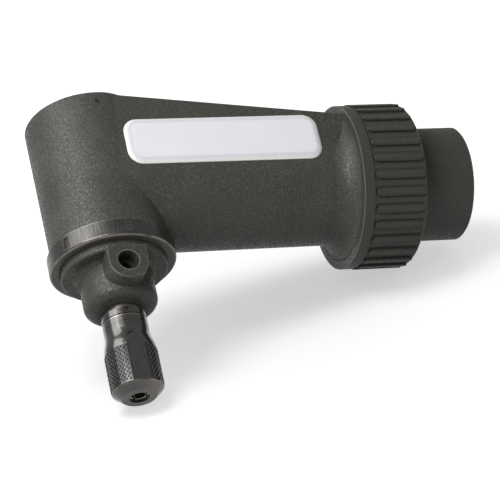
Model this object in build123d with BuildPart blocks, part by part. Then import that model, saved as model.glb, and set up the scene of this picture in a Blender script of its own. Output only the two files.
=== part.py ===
"""Right angle attachment for a rotary tool, in millimetres.

The origin is the centre of the tool socket's mouth. +X runs out of that mouth along the
barrel, towards the tool. The output spindle stands square to the barrel at its far end and
points along -Z. A station is a distance along the barrel, measured from the spindle axis.
"""

import os
from math import acos, atan, cos, pi, radians, sin, sqrt, tan

from build123d import *

# Running gaps between pieces
running_gap = 0.05
slip_gap = 0.12
face_gap = 0.05
thread_gap = 0.1

# Barrel stations and lengths
spindle_to_mouth = 76.5
ring_front = 50.6
ring_length = 13.6
housing_end = 57.0

# Housing
head_top = 17.1
head_bottom = -13.03
head_top_radius = 12.4
head_bottom_radius = 11.9
head_edge_round = 0.4
head_foot_height = 0.8
head_foot_rise = 0.15
slope_start = 0.8
slope_angle = 7.2
barrel_radius_at_head = 11.95
barrel_radius_at_ring = 11.75
barrel_edge_round = 0.6
flare_length = 4.4
flare_land = 1.1
cavity_radius = 9.2
cavity_top = 8.0
pinion_passage_radius = 7.9

# Tool socket
sleeve_edge = 0.35
socket_thread_radius = 8.6
socket_thread_length = 12.0
socket_relief_radius = 7.4
socket_flange_width = 2.0
spigot_radius = 10.0
spigot_length = 7.0
seal_groove_width = 1.4
seal_groove_depth = 0.8
seal_groove_setback = 3.0

# Coupling ring
ring_radius = 16.85
ring_field_depth = 0.25
ring_field_radius = ring_radius - ring_field_depth
ring_band_width = 2.2
ring_edge = 0.3
rib_count = 30
rib_width = 1.7
rib_height = 0.4
rib_front_gap = 2.6
rib_rear_gap = 0.5
slip_washer_thickness = 0.8

# Housing's flare and male thread in the ring, with the socket's flange and sleeve behind them
ring_wall = 1.9
flare_radius = ring_radius - ring_wall
male_thread_step = 0.35
male_thread_radius = flare_radius - male_thread_step
socket_flange_step = 0.4
socket_flange_radius = male_thread_radius - socket_flange_step
socket_flange_lip = 2.5
sleeve_radius = socket_flange_radius - socket_flange_lip

# Ball bearings of the shafts, all of one size
bearing_bore = 3.0
bearing_radius = 8.5
bearing_width = 6.0
ball_radius = 1.2
ball_count = 6
land_gap = 0.75
front_bearing_station = 12.5
spacer_length = 23.4
spacer_wall = 0.9

# Retaining rings
circlip_thickness = 0.8
circlip_depth = 0.65
circlip_width = 1.5
circlip_opening = 40

# Bevel gears
pinion_teeth = 14
gear_teeth = 16
gear_module = 0.95
face_width = 3.6
pressure_angle = 20
backlash = 0.14
root_depth_factor = 1.2
pinion_hub_radius = 5.0
gear_hub_radius = 5.6
gear_web = 0.55
gear_hub_bottom = -10.35
shim_radius = 4.3
pin_radius = 0.6

# Shafts
journal_radius = 2.5
shaft_waist_radius = 3.6
shaft_tail_station = 56.0
square_end_station = 64.0
square_side = 4.1
spindle_top = 13.6
spindle_neck_radius = 3.35
spindle_thread_radius = 3.57
spindle_thread_top = -28.9
spindle_end = -36.3

# Needle bearing at the top of the spindle
needle_radius = 0.75
needle_count = 10
needle_length = 5.0
needle_cup_radius = 4.55
needle_cup_length = 6.0
needle_cup_floor = 0.5

# Bearing cap and the band that holds it
cap_spigot_radius = 9.9
cap_spigot_top = -10.5
housing_spigot_radius = 11.25
housing_spigot_end = -14.6
cap_flange_step = 0.05
cap_flange_radius = housing_spigot_radius - cap_flange_step
cap_flange_thickness = 0.9
cap_flange_lip = 0.45
cap_disc_radius = cap_flange_radius - cap_flange_lip
cap_disc_bottom = -18.55
cap_disc_round = 0.6
cap_neck_radius = 7.4
cap_neck_round = 1.9
cap_root_round = 1.3
cap_end = -26.8
cap_bore_radius = 4.4
bearing_shoulder = 0.6
band_wall = 1.5
band_radius = housing_spigot_radius + band_wall
band_bottom = -16.85
band_lip_round = 0.6
band_mark_count = 6
band_mark_width = 0.8
band_mark_depth = 0.15
band_mark_turn = 213.5
seal_radius = 5.2
seal_length = 1.7

# Spindle lock
lock_height = -21.3
lock_face = 10.8
lock_boss_radius = 4.0
lock_mouth_radius = 2.1
lock_mouth_depth = 3.2
lock_pin_radius = 1.3

# Collet and nut
nut_top = -28.03
nut_end = -45.9
nut_rim_radius = 4.46
nut_waist_end = -32.3
nut_knurl_top = -36.2
nut_knurl_end = -44.4
nut_knurl_radius = 5.13
nut_tip_radius = 3.47
nut_across_flats = 9.525
nut_flat_top = -33.7
nut_hole_radius = 2.02
nut_groove_height = -29.3
nut_groove_width = 0.25
nut_groove_depth = 0.15
collet_radius = 2.35
collet_head_radius = 2.95
collet_tip_radius = 1.95
collet_bore = 1.6
collet_top = -27.0
collet_head_top = -36.9
collet_cone_top = -40.6
collet_end = -45.2
collet_slot_width = 0.5
collet_slot_length = 13.0
collet_slot_turn = 20
collet_pocket_top = -24.5


def at(station):
    """X of a station on the barrel."""
    return station - spindle_to_mouth


# Both planes hold half outlines as (distance along the axis, radius)
barrel_plane = Plane(origin=(at(0), 0, 0), x_dir=(1, 0, 0), z_dir=(0, -1, 0))
spindle_plane = Plane(origin=(at(0), 0, 0), x_dir=(0, 0, 1), z_dir=(0, 1, 0))


def axis_of(plane):
    """The turning axis of a half outline's plane."""
    return Axis(plane.origin, plane.x_dir)


def turned(plane, points, mode=Mode.ADD):
    """A solid turned about the plane's axis from a closed outline of straight lines."""
    with BuildSketch(plane) as outline:
        with BuildLine():
            Polyline(*points, close=True)
        make_face()
    revolve(outline.sketch, axis=axis_of(plane), mode=mode)


def tube(plane, start, end, inner, outer, mode=Mode.ADD):
    """A plain ring between two places on the plane's axis."""
    turned(plane, [(start, inner), (end, inner), (end, outer), (start, outer)], mode)


def rod(plane, start, end, radius, mode=Mode.ADD):
    """A plain round bar between two places on the plane's axis."""
    turned(plane, [(start, 0), (end, 0), (end, radius), (start, radius)], mode)


# Ball bearings
ball_circle = (bearing_bore + bearing_radius) / 2
groove_radius = ball_radius + running_gap
groove_half_width = sqrt(groove_radius**2 - land_gap**2)


def race(plane, start, seat_radius):
    """One race, inner or outer by its seat, with the balls' groove in its land."""
    side = 1 if seat_radius > ball_circle else -1
    land = ball_circle + side * land_gap
    middle = start + bearing_width / 2
    with BuildSketch(plane) as outline:
        with BuildLine():
            ThreePointArc(
                (middle - groove_half_width, land),
                (middle, ball_circle + side * groove_radius),
                (middle + groove_half_width, land),
            )
            Polyline(
                (middle + groove_half_width, land),
                (start + bearing_width, land),
                (start + bearing_width, seat_radius),
                (start, seat_radius),
                (start, land),
                (middle - groove_half_width, land),
            )
        make_face()
    revolve(outline.sketch, axis=axis_of(plane))


# Bevel gears: both pitch cones meet where the two axes cross
pinion_pitch_radius = gear_module * pinion_teeth / 2
gear_pitch_radius = gear_module * gear_teeth / 2
cone_distance = sqrt(pinion_pitch_radius**2 + gear_pitch_radius**2)
toe_scale = 1 - face_width / cone_distance
addendum = gear_module
dedendum = root_depth_factor * gear_module
pinion_angle = atan(pinion_teeth / gear_teeth)
gear_angle = atan(gear_teeth / pinion_teeth)
pinion_frame = Plane(origin=(at(0), 0, 0), x_dir=(0, 0, -1), z_dir=(1, 0, 0))
gear_frame = Plane(origin=(at(0), 0, 0), x_dir=(1, 0, 0), z_dir=(0, 0, -1))


def involute(angle):
    return tan(angle) - angle


def tooth_outline(pitch_radius, cone_angle):
    """Half of a tooth's outline at the heel, from root to tip, as (across, outward)."""
    rolled = pitch_radius / cos(cone_angle)
    alpha = radians(pressure_angle)
    base = rolled * cos(alpha)
    half_angle = (pi * gear_module / 2 - backlash) / (2 * rolled)
    root = rolled - dedendum
    tip = rolled + addendum
    flank = []
    for radius in (root, base, rolled, rolled + addendum / 2, tip):
        press = acos(base / max(radius, base))
        turn = half_angle + involute(alpha) - involute(press)
        flank.append((radius * sin(turn), radius * cos(turn) - rolled))
    return flank


def bevel_teeth(frame, teeth, pitch_radius, cone_angle, phase):
    """Straight teeth on a bevel gear: each shrinks from its heel towards the cones' apex."""
    flank = tooth_outline(pitch_radius, cone_angle)
    bed = -dedendum - gear_module / 4
    half = [(flank[0][0], bed), *flank]
    outline = [(-x, y) for x, y in half] + [(x, y) for x, y in reversed(half)]
    for number in range(teeth):
        angle = 2 * pi * (number + phase) / teeth
        outward = frame.x_dir * cos(angle) + frame.y_dir * sin(angle)
        along = frame.y_dir * cos(angle) - frame.x_dir * sin(angle)
        element = outward * sin(cone_angle) + frame.z_dir * cos(cone_angle)
        ends = []
        for scale in (1, toe_scale):
            place = frame.origin + element * (cone_distance * scale)
            with BuildSketch(Plane(origin=place, x_dir=-along, z_dir=element)) as end:
                with BuildLine():
                    Polyline(*[(x * scale, y * scale) for x, y in outline], close=True)
                make_face()
            ends.append(end.sketch)
        loft(sections=ends, ruled=True)


def bevel_body(frame, pitch_radius, mate_radius, cone_angle, bore, hub_radius, hub_end):
    """The turned blank under the teeth, with its hub behind the heel."""
    heel_radius = pitch_radius - dedendum * cos(cone_angle)
    heel_place = mate_radius + dedendum * sin(cone_angle)
    plane = Plane(origin=frame.origin, x_dir=frame.z_dir, z_dir=frame.y_dir)
    turned(
        plane,
        [
            (heel_place * toe_scale, bore),
            (heel_place * toe_scale, heel_radius * toe_scale),
            (heel_place, heel_radius),
            (heel_place + gear_web, heel_radius),
            (heel_place + gear_web, hub_radius),
            (hub_end, hub_radius),
            (hub_end, bore),
        ],
    )


# Places that follow from the sizes above
front_bearing_end = front_bearing_station + bearing_width
rear_bearing_station = front_bearing_end + 2 * face_gap + spacer_length
rear_bearing_end = rear_bearing_station + bearing_width
clip_station = rear_bearing_end + face_gap
spigot_front = housing_end - spigot_length
flange_front = housing_end + face_gap
flange_rear = flange_front + socket_flange_width
washer_front = flange_rear + face_gap
washer_rear = washer_front + slip_washer_thickness
ring_rear = ring_front + ring_length
flare_rear = ring_front + flare_land
socket_thread_end = spindle_to_mouth - socket_thread_length
pinion_hub_end = front_bearing_station - 4 * face_gap
lower_bearing_top = gear_hub_bottom - 5 * face_gap
lower_bearing_bottom = lower_bearing_top - bearing_width
cap_flange_top = housing_spigot_end - face_gap
cap_flange_bottom = cap_flange_top - cap_flange_thickness
band_lip_top = cap_flange_bottom - face_gap
needle_circle = journal_radius + needle_radius + running_gap / 2
needle_track = needle_circle + needle_radius + running_gap / 2
slope_drop = tan(radians(slope_angle))


def slope_height(station):
    """Height of the housing's sloped top above the barrel axis."""
    return head_top - (station - slope_start) * slope_drop


def cut_slope():
    """Take the sloped top off what stands above it."""
    far = spindle_to_mouth
    high = 2 * head_top
    with BuildSketch(barrel_plane) as above:
        with BuildLine():
            Polyline(
                (-far, head_top),
                (slope_start, head_top),
                (far, slope_height(far)),
                (far, high),
                (-far, high),
                close=True,
            )
        make_face()
    extrude(above.sketch, amount=2 * head_top_radius, both=True, mode=Mode.SUBTRACT)


def barrel_section(station, radius):
    """The barrel's section: round below its axis, flat-sided above."""
    with BuildSketch(Plane.YZ.offset(at(station))) as section:
        Circle(radius)
        Rectangle(2 * radius, head_top + radius, align=(Align.CENTER, Align.MIN))
    return section.sketch


# Housing: one moulding of the round head and the barrel
with BuildPart() as housing:
    loft(
        sections=[
            barrel_section(slope_start, barrel_radius_at_head),
            barrel_section(ring_front, barrel_radius_at_ring),
        ],
        ruled=True,
    )
    cut_slope()
    top_face = housing.faces().filter_by(Axis.X, reverse=True).sort_by(Axis.Z)[-1]
    top_edges = top_face.edges().filter_by(Axis.Y, reverse=True)
    fillet(top_edges, radius=barrel_edge_round)
    with BuildSketch(spindle_plane):
        with BuildLine():
            Polyline(
                (head_top, head_top_radius - head_edge_round),
                (head_top, 0),
                (head_bottom, 0),
                (head_bottom, head_bottom_radius + head_foot_rise),
                (head_bottom + head_foot_height, head_bottom_radius + head_foot_rise),
                (head_bottom + head_foot_height, head_bottom_radius),
                (head_top - head_edge_round, head_top_radius),
            )
            RadiusArc(
                (head_top - head_edge_round, head_top_radius),
                (head_top, head_top_radius - head_edge_round),
                head_edge_round,
            )
        make_face()
    revolve(axis=axis_of(spindle_plane))
    cut_slope()
    # Flare into the coupling, with the male thread behind it
    flare_front = ring_front - flare_length
    flare_rise = flare_radius - barrel_radius_at_ring
    flare_arc = (flare_length**2 + flare_rise**2) / (2 * flare_rise)
    flare_turn = acos(1 - flare_rise / flare_arc) / 2
    with BuildSketch(barrel_plane):
        with BuildLine():
            ThreePointArc(
                (flare_front, barrel_radius_at_ring),
                (
                    flare_front + flare_arc * sin(flare_turn),
                    barrel_radius_at_ring + flare_arc * (1 - cos(flare_turn)),
                ),
                (ring_front, flare_radius),
            )
            Polyline(
                (ring_front, flare_radius),
                (flare_rear, flare_radius),
                (flare_rear, male_thread_radius),
                (housing_end, male_thread_radius),
                (housing_end, 0),
                (flare_front, 0),
                (flare_front, barrel_radius_at_ring),
            )
        make_face()
    revolve(axis=axis_of(barrel_plane))
    # Male thread for the band, below the head
    rod(spindle_plane, housing_spigot_end, head_bottom, housing_spigot_radius)
    # Gear cavity, bearing seats and the bores that the shafts go in by
    rod(spindle_plane, cap_spigot_top + face_gap, cavity_top, cavity_radius, Mode.SUBTRACT)
    rod(
        spindle_plane,
        housing_spigot_end,
        cap_spigot_top + face_gap,
        cap_spigot_radius + running_gap,
        Mode.SUBTRACT,
    )
    rod(
        spindle_plane,
        cavity_top,
        cavity_top + needle_cup_length + face_gap,
        needle_cup_radius,
        Mode.SUBTRACT,
    )
    rod(barrel_plane, 0, front_bearing_station - face_gap, pinion_passage_radius, Mode.SUBTRACT)
    rod(
        barrel_plane,
        front_bearing_station - face_gap,
        housing_end,
        bearing_radius,
        Mode.SUBTRACT,
    )
    tube(
        barrel_plane,
        clip_station,
        clip_station + circlip_thickness + face_gap,
        bearing_radius,
        bearing_radius + circlip_depth + running_gap,
        Mode.SUBTRACT,
    )
    rod(
        barrel_plane,
        spigot_front - face_gap,
        housing_end,
        spigot_radius + running_gap,
        Mode.SUBTRACT,
    )
housing.part.label = "housing"

# Tool socket: the sleeve that screws on the tool's nose
with BuildPart() as tool_socket:
    turned(
        barrel_plane,
        [
            (spigot_front, socket_relief_radius),
            (spigot_front, spigot_radius),
            (flange_front, spigot_radius),
            (flange_front, socket_flange_radius),
            (flange_rear, socket_flange_radius),
            (flange_rear, sleeve_radius),
            (spindle_to_mouth - sleeve_edge, sleeve_radius),
            (spindle_to_mouth, sleeve_radius - sleeve_edge),
            (spindle_to_mouth, socket_thread_radius),
            (socket_thread_end, socket_thread_radius),
            (socket_thread_end, socket_relief_radius),
        ],
    )
    tube(
        barrel_plane,
        spigot_front + seal_groove_setback,
        spigot_front + seal_groove_setback + seal_groove_width,
        spigot_radius - seal_groove_depth,
        spigot_radius,
        Mode.SUBTRACT,
    )
tool_socket.part.label = "tool_socket"

# Friction ring in the socket's groove, which steadies the swivel
with BuildPart() as swivel_ring:
    tube(
        barrel_plane,
        spigot_front + seal_groove_setback,
        spigot_front + seal_groove_setback + seal_groove_width,
        spigot_radius - seal_groove_depth,
        spigot_radius + running_gap / 2,
    )
swivel_ring.part.label = "swivel_ring"

# Slip washer between the socket's flange and the coupling ring's lip
with BuildPart() as slip_washer:
    tube(
        barrel_plane,
        washer_front,
        washer_rear,
        sleeve_radius + slip_gap,
        socket_flange_radius,
    )
slip_washer.part.label = "slip_washer"

# Coupling ring: screws on the housing and clamps the socket's flange
with BuildPart() as coupling_ring:
    turned(
        barrel_plane,
        [
            (ring_front, flare_radius + slip_gap),
            (ring_front, ring_radius),
            (ring_front + ring_band_width, ring_radius),
            (ring_front + ring_band_width + rib_height, ring_field_radius),
            (ring_rear - ring_edge, ring_field_radius),
            (ring_rear, ring_field_radius - ring_edge),
            (ring_rear, sleeve_radius + slip_gap),
            (washer_rear + face_gap, sleeve_radius + slip_gap),
            (washer_rear + face_gap, male_thread_radius + thread_gap),
            (flare_rear + face_gap, male_thread_radius + thread_gap),
            (flare_rear + face_gap, flare_radius + slip_gap),
        ],
    )
    rib_start = ring_front + rib_front_gap
    rib_end = ring_rear - rib_rear_gap
    for number in range(rib_count):
        turn = 2 * pi * (number + 0.5) / rib_count
        rib_middle = Vector(at((rib_start + rib_end) / 2), 0, 0)
        rib_plane = Plane(origin=rib_middle, x_dir=(1, 0, 0), z_dir=(0, sin(turn), cos(turn)))
        with BuildSketch(rib_plane.offset(ring_field_radius - rib_height)) as rib:
            SlotOverall(rib_end - rib_start, rib_width)
        extrude(rib.sketch, amount=2 * rib_height)
coupling_ring.part.label = "coupling_ring"

# Input shaft line
with BuildPart() as drive_shaft:
    toe_station = (gear_pitch_radius + dedendum * sin(pinion_angle)) * toe_scale
    turned(
        barrel_plane,
        [
            (toe_station, 0),
            (toe_station, journal_radius),
            (pinion_hub_end, journal_radius),
            (pinion_hub_end, bearing_bore),
            (front_bearing_end, bearing_bore),
            (front_bearing_end, shaft_waist_radius),
            (rear_bearing_station, shaft_waist_radius),
            (rear_bearing_station, bearing_bore),
            (clip_station, bearing_bore),
            (clip_station, bearing_bore - circlip_depth / 2),
            (clip_station + circlip_thickness + face_gap, bearing_bore - circlip_depth / 2),
            (clip_station + circlip_thickness + face_gap, bearing_bore),
            (shaft_tail_station, bearing_bore),
            (shaft_tail_station, 0),
        ],
    )
    with BuildSketch(Plane.YZ.offset(at(shaft_tail_station))):
        Rectangle(square_side, square_side)
    extrude(amount=square_end_station - shaft_tail_station)
    pinion_pin_station = (gear_pitch_radius + pinion_hub_end + gear_web) / 2 + gear_web
    with BuildSketch(barrel_plane):
        with Locations((pinion_pin_station, 0)):
            Circle(pin_radius)
    extrude(amount=pinion_hub_radius, both=True, mode=Mode.SUBTRACT)
drive_shaft.part.label = "drive_shaft"

with BuildPart() as bevel_pinion:
    bevel_body(
        pinion_frame,
        pinion_pitch_radius,
        gear_pitch_radius,
        pinion_angle,
        journal_radius,
        pinion_hub_radius,
        pinion_hub_end,
    )
    bevel_teeth(pinion_frame, pinion_teeth, pinion_pitch_radius, pinion_angle, 0)
    with BuildSketch(barrel_plane):
        with Locations((pinion_pin_station, 0)):
            Circle(pin_radius)
    extrude(amount=pinion_hub_radius, both=True, mode=Mode.SUBTRACT)
bevel_pinion.part.label = "bevel_pinion"

with BuildPart() as pinion_pin:
    with BuildSketch(barrel_plane):
        with Locations((pinion_pin_station, 0)):
            Circle(pin_radius)
    extrude(amount=pinion_hub_radius - pin_radius, both=True)
pinion_pin.part.label = "pinion_pin"

with BuildPart() as pinion_shim:
    tube(
        barrel_plane,
        pinion_hub_end + face_gap,
        front_bearing_station - face_gap,
        bearing_bore,
        shim_radius,
    )
pinion_shim.part.label = "pinion_shim"

bearing_seats = {
    "front_bearing": (barrel_plane, front_bearing_station),
    "rear_bearing": (barrel_plane, rear_bearing_station),
    "lower_bearing": (spindle_plane, lower_bearing_bottom),
}
bearing_pieces = []
for bearing, (plane, start) in bearing_seats.items():
    with BuildPart() as inner_race:
        race(plane, start, bearing_bore)
    inner_race.part.label = bearing + "_inner_race"
    with BuildPart() as outer_race:
        race(plane, start, bearing_radius)
    outer_race.part.label = bearing + "_outer_race"
    bearing_pieces += [inner_race.part, outer_race.part]
    with BuildPart() as balls:
        for number in range(ball_count):
            angle = 2 * pi * number / ball_count
            across = plane.y_dir * cos(angle) + plane.z_dir * sin(angle)
            centre = plane.origin + plane.x_dir * (start + bearing_width / 2)
            with Locations(centre + across * ball_circle):
                Sphere(ball_radius)
    balls.part.label = bearing + "_balls"
    bearing_pieces.append(balls.part)

with BuildPart() as bearing_spacer:
    tube(
        barrel_plane,
        front_bearing_end + face_gap,
        rear_bearing_station - face_gap,
        bearing_radius - spacer_wall,
        bearing_radius,
    )
bearing_spacer.part.label = "bearing_spacer"

# Retaining rings: one in the housing's bore, one on the shaft
with BuildPart() as bore_circlip:
    with BuildSketch(Plane.YZ.offset(at(clip_station + face_gap / 2))):
        Circle(bearing_radius + circlip_depth)
        Circle(bearing_radius + circlip_depth - circlip_width, mode=Mode.SUBTRACT)
        with BuildLine():
            reach = 2 * bearing_radius
            half = radians(circlip_opening / 2)
            Polyline(
                (0, 0),
                (-reach * sin(half), reach * cos(half)),
                (reach * sin(half), reach * cos(half)),
                close=True,
            )
        make_face(mode=Mode.SUBTRACT)
    extrude(amount=circlip_thickness)
bore_circlip.part.label = "bore_circlip"

with BuildPart() as shaft_circlip:
    with BuildSketch(Plane.YZ.offset(at(clip_station + face_gap / 2))):
        Circle(bearing_bore - circlip_depth / 2 + circlip_width)
        Circle(bearing_bore - circlip_depth / 2, mode=Mode.SUBTRACT)
        with Locations((0, bearing_bore)):
            Rectangle(bearing_bore, 2 * bearing_bore, mode=Mode.SUBTRACT)
    extrude(amount=circlip_thickness)
shaft_circlip.part.label = "shaft_circlip"

# Spindle line
with BuildPart() as spindle:
    gear_toe = -(pinion_pitch_radius + dedendum * sin(gear_angle)) * toe_scale
    turned(
        spindle_plane,
        [
            (spindle_top, 0),
            (spindle_top, journal_radius),
            (gear_toe, journal_radius),
            (gear_toe, bearing_bore),
            (lower_bearing_bottom, bearing_bore),
            (lower_bearing_bottom, spindle_neck_radius),
            (spindle_thread_top, spindle_neck_radius),
            (spindle_thread_top, spindle_thread_radius),
            (spindle_end, spindle_thread_radius),
            (spindle_end, collet_head_radius),
            (spindle_end + collet_head_radius - collet_radius, collet_radius + running_gap),
            (collet_pocket_top, collet_radius + running_gap),
            (collet_pocket_top, 0),
        ],
    )
    gear_pin_height = gear_hub_bottom + 2 * pin_radius
    with BuildSketch(Plane.XZ):
        with Locations((at(0), gear_pin_height)):
            Circle(pin_radius)
        with Locations((at(0), lock_height)):
            Circle(lock_pin_radius)
    extrude(amount=gear_hub_radius, both=True, mode=Mode.SUBTRACT)
spindle.part.label = "spindle"

with BuildPart() as bevel_gear:
    bevel_body(
        gear_frame,
        gear_pitch_radius,
        pinion_pitch_radius,
        gear_angle,
        bearing_bore,
        gear_hub_radius,
        -gear_hub_bottom,
    )
    bevel_teeth(gear_frame, gear_teeth, gear_pitch_radius, gear_angle, 0.5)
    with BuildSketch(Plane.XZ):
        with Locations((at(0), gear_pin_height)):
            Circle(pin_radius)
    extrude(amount=gear_hub_radius, both=True, mode=Mode.SUBTRACT)
bevel_gear.part.label = "bevel_gear"

with BuildPart() as gear_pin:
    with BuildSketch(Plane.XZ):
        with Locations((at(0), gear_pin_height)):
            Circle(pin_radius)
    extrude(amount=gear_hub_radius - pin_radius, both=True)
gear_pin.part.label = "gear_pin"

with BuildPart() as gear_shim:
    tube(
        spindle_plane,
        lower_bearing_top + face_gap,
        gear_hub_bottom - face_gap,
        bearing_bore,
        shim_radius,
    )
gear_shim.part.label = "gear_shim"

with BuildPart() as needle_cup:
    tube(spindle_plane, cavity_top, cavity_top + needle_cup_length, needle_track, needle_cup_radius)
    rod(
        spindle_plane,
        cavity_top + needle_cup_length - needle_cup_floor / 2,
        cavity_top + needle_cup_length,
        needle_cup_radius,
    )
needle_cup.part.label = "needle_cup"

with BuildPart() as needle_rollers:
    with BuildSketch(Plane.XY.offset(cavity_top + needle_cup_floor)):
        with Locations((at(0), 0)):
            with PolarLocations(needle_circle, needle_count):
                Circle(needle_radius)
    extrude(amount=needle_length)
needle_rollers.part.label = "needle_rollers"

# Bearing cap: spigot, flange, disc and neck, with the lock pin's boss towards -Y
with BuildPart() as bearing_cap:
    with BuildSketch(spindle_plane) as cap_outline:
        with BuildLine():
            Polyline(
                (cap_spigot_top, bearing_radius),
                (cap_spigot_top, cap_spigot_radius),
                (cap_flange_top, cap_spigot_radius),
                (cap_flange_top, cap_flange_radius),
                (cap_flange_bottom, cap_flange_radius),
                (cap_flange_bottom, cap_disc_radius),
                (cap_disc_bottom + cap_disc_round, cap_disc_radius),
            )
            RadiusArc(
                (cap_disc_bottom + cap_disc_round, cap_disc_radius),
                (cap_disc_bottom, cap_disc_radius - cap_disc_round),
                -cap_disc_round,
            )
            Line(
                (cap_disc_bottom, cap_disc_radius - cap_disc_round),
                (cap_disc_bottom, cap_neck_radius + cap_root_round),
            )
            RadiusArc(
                (cap_disc_bottom, cap_neck_radius + cap_root_round),
                (cap_disc_bottom - cap_root_round, cap_neck_radius),
                cap_root_round,
            )
            Line(
                (cap_disc_bottom - cap_root_round, cap_neck_radius),
                (cap_end + cap_neck_round, cap_neck_radius),
            )
            RadiusArc(
                (cap_end + cap_neck_round, cap_neck_radius),
                (cap_end, cap_neck_radius - cap_neck_round),
                -cap_neck_round,
            )
            Polyline(
                (cap_end, cap_neck_radius - cap_neck_round),
                (cap_end, 0),
                (cap_spigot_top, 0),
                (cap_spigot_top, bearing_radius),
            )
        make_face()
    revolve(axis=axis_of(spindle_plane))
    with BuildSketch(Plane.XZ) as boss:
        with Locations((at(0), lock_height)):
            Circle(lock_boss_radius)
            Rectangle(
                2 * lock_boss_radius,
                cap_disc_bottom - lock_height + cap_disc_round,
                align=(Align.CENTER, Align.MIN),
            )
    extrude(amount=lock_face)
    rod(
        spindle_plane,
        cap_spigot_top,
        lower_bearing_bottom - face_gap,
        bearing_radius,
        Mode.SUBTRACT,
    )
    rod(
        spindle_plane,
        lower_bearing_bottom - face_gap,
        lower_bearing_bottom - bearing_shoulder,
        ball_circle + land_gap,
        Mode.SUBTRACT,
    )
    rod(spindle_plane, cap_end, lower_bearing_bottom, cap_bore_radius, Mode.SUBTRACT)
    rod(spindle_plane, cap_end, cap_end + seal_length + face_gap, seal_radius, Mode.SUBTRACT)
    with BuildSketch(Plane.XZ.offset(lock_face)):
        with Locations((at(0), lock_height)):
            Circle(lock_mouth_radius)
    extrude(amount=-lock_mouth_depth, mode=Mode.SUBTRACT)
    with BuildSketch(Plane.XZ.offset(lock_face)):
        with Locations((at(0), lock_height)):
            Circle(lock_pin_radius)
    extrude(amount=-lock_face, mode=Mode.SUBTRACT)
bearing_cap.part.label = "bearing_cap"

# Retaining band: screws on the head and holds the cap by its flange
with BuildPart() as retaining_band:
    with BuildSketch(spindle_plane) as band_outline:
        with BuildLine():
            Polyline(
                (band_bottom, band_radius - band_lip_round),
                (band_bottom, cap_disc_radius + slip_gap),
                (band_lip_top, cap_disc_radius + slip_gap),
                (band_lip_top, housing_spigot_radius + thread_gap),
                (head_bottom - face_gap, housing_spigot_radius + thread_gap),
                (head_bottom - face_gap, band_radius),
                (band_bottom + band_lip_round, band_radius),
            )
            RadiusArc(
                (band_bottom + band_lip_round, band_radius),
                (band_bottom, band_radius - band_lip_round),
                -band_lip_round,
            )
        make_face()
    revolve(axis=axis_of(spindle_plane))
    for number in range(band_mark_count):
        turn = radians(band_mark_turn + 360 * number / band_mark_count)
        outward = Vector(cos(turn), sin(turn), 0)
        band_middle = Vector(at(0), 0, (head_bottom + band_bottom + band_lip_round) / 2)
        mark_plane = Plane(
            origin=band_middle + outward * band_radius,
            x_dir=(-sin(turn), cos(turn), 0),
            z_dir=outward,
        )
        with BuildSketch(mark_plane) as mark:
            Rectangle(band_mark_width, (head_bottom - band_bottom) / 2)
        extrude(mark.sketch, amount=band_mark_depth, both=True, mode=Mode.SUBTRACT)
retaining_band.part.label = "retaining_band"

# Rubber seal round the spindle, in the neck's end
with BuildPart() as neck_seal:
    tube(spindle_plane, cap_end, cap_end + seal_length, spindle_neck_radius + running_gap, seal_radius)
neck_seal.part.label = "neck_seal"

# Collet: slotted sleeve that closes on the shank
with BuildPart() as collet:
    turned(
        spindle_plane,
        [
            (collet_top, collet_bore),
            (collet_top, collet_radius),
            (collet_head_top + collet_head_radius - collet_radius, collet_radius),
            (collet_head_top, collet_head_radius),
            (collet_cone_top, collet_head_radius),
            (collet_end, collet_tip_radius),
            (collet_end, collet_bore),
        ],
    )
    for turn in (0, 90):
        with BuildSketch(Plane.XY.offset(collet_end)) as slot:
            with Locations(Location((at(0), 0, 0), (0, 0, turn + collet_slot_turn))):
                Rectangle(4 * collet_head_radius, collet_slot_width)
        extrude(slot.sketch, amount=collet_slot_length, mode=Mode.SUBTRACT)
collet.part.label = "collet"

# Collet nut
with BuildPart() as collet_nut:
    with BuildSketch(spindle_plane):
        with BuildLine():
            Polyline(
                (nut_end, nut_hole_radius),
                (nut_end, nut_tip_radius),
                (nut_knurl_end, nut_knurl_radius),
                (nut_knurl_top, nut_knurl_radius),
            )
            Spline(
                (nut_knurl_top, nut_knurl_radius),
                (nut_waist_end, nut_rim_radius),
                tangents=((1, 0), (1, 0)),
            )
            Polyline(
                (nut_waist_end, nut_rim_radius),
                (nut_top, nut_rim_radius),
                (nut_top, spindle_thread_radius + thread_gap),
                (spindle_end, spindle_thread_radius + thread_gap),
                (spindle_end - thread_gap, collet_head_radius + thread_gap),
                (collet_cone_top - thread_gap, collet_head_radius + thread_gap),
                (collet_end - thread_gap, nut_hole_radius),
                (nut_end, nut_hole_radius),
            )
        make_face()
    revolve(axis=axis_of(spindle_plane))
    tube(
        spindle_plane,
        nut_groove_height - nut_groove_width,
        nut_groove_height,
        nut_rim_radius - nut_groove_depth,
        nut_rim_radius + nut_groove_depth,
        Mode.SUBTRACT,
    )
    for side in (-1, 1):
        flat_plane = Plane(
            origin=(at(0), side * nut_across_flats / 2, 0),
            x_dir=(-side, 0, 0),
            z_dir=(0, side, 0),
        )
        with BuildSketch(flat_plane) as flat:
            with Locations((0, nut_flat_top)):
                Rectangle(
                    2 * nut_knurl_radius,
                    nut_flat_top - nut_end,
                    align=(Align.CENTER, Align.MAX),
                )
        extrude(flat.sketch, amount=nut_knurl_radius, mode=Mode.SUBTRACT)
collet_nut.part.label = "collet_nut"

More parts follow.
